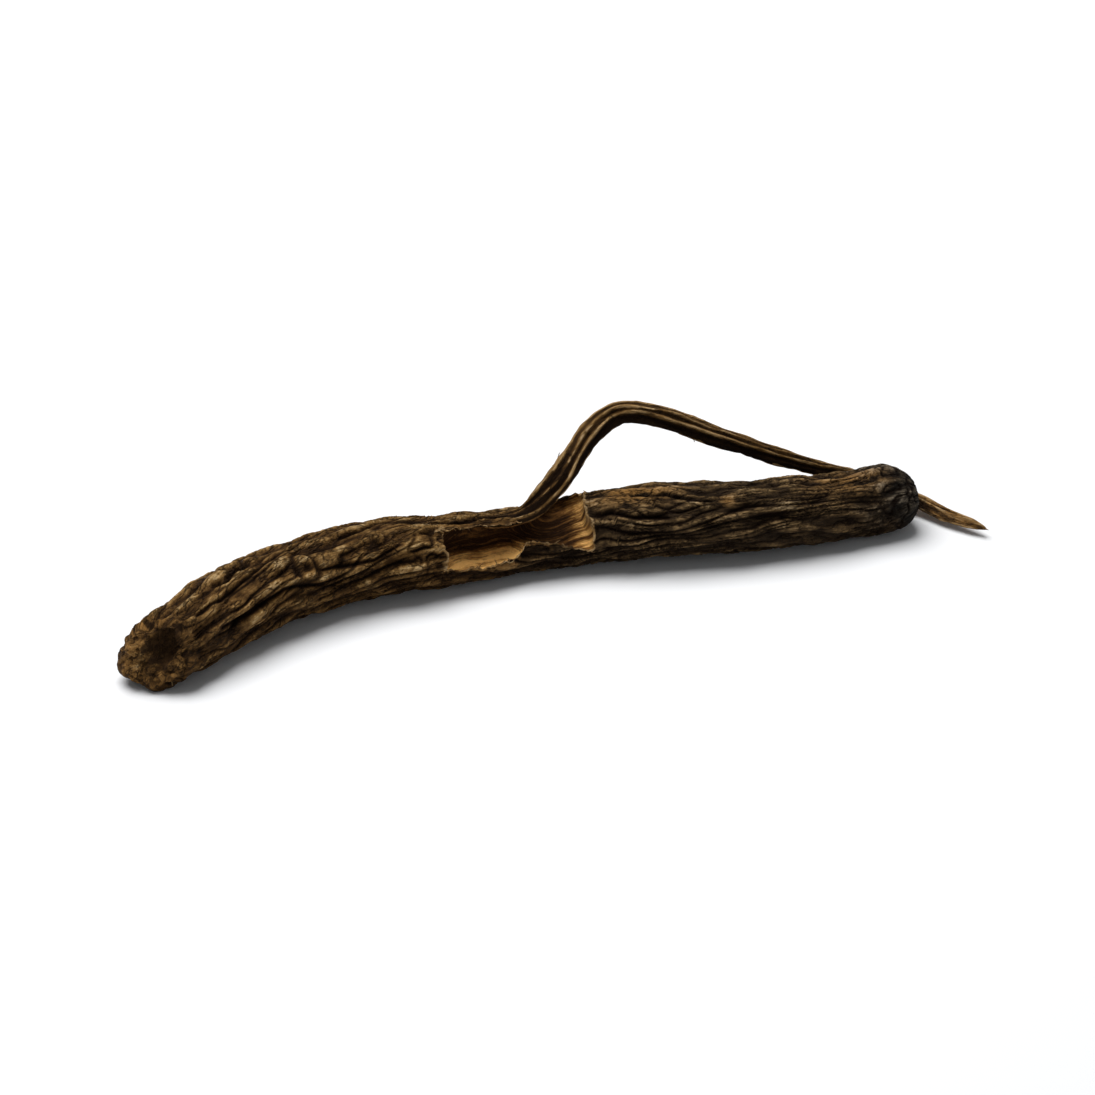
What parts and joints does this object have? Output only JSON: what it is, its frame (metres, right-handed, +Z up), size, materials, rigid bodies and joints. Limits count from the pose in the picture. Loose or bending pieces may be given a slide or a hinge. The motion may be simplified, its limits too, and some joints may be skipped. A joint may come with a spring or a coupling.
{
  "type": "golden eye-grass rhizome",
  "caption": "Curved, wrinkled dried rhizome with a broken hollow end, a rounded knob, and a torn opening beside which a strip of its bark arches up and back.",
  "frame": {"origin": "Centre of the bounding box's base, on the surface that the rhizome lies on.", "axes": "+Z is up. +X runs along its longest extent, from the broken end towards the knob and the tip of the torn strip. The torn opening faces -Y and up."},
  "size_m": [0.0793, 0.0349, 0.0132],
  "materials": {
    "bark": "matt"
  },
  "bodies": {
    "root": {"rhizome": "bark"}
  },
  "joints": []
}
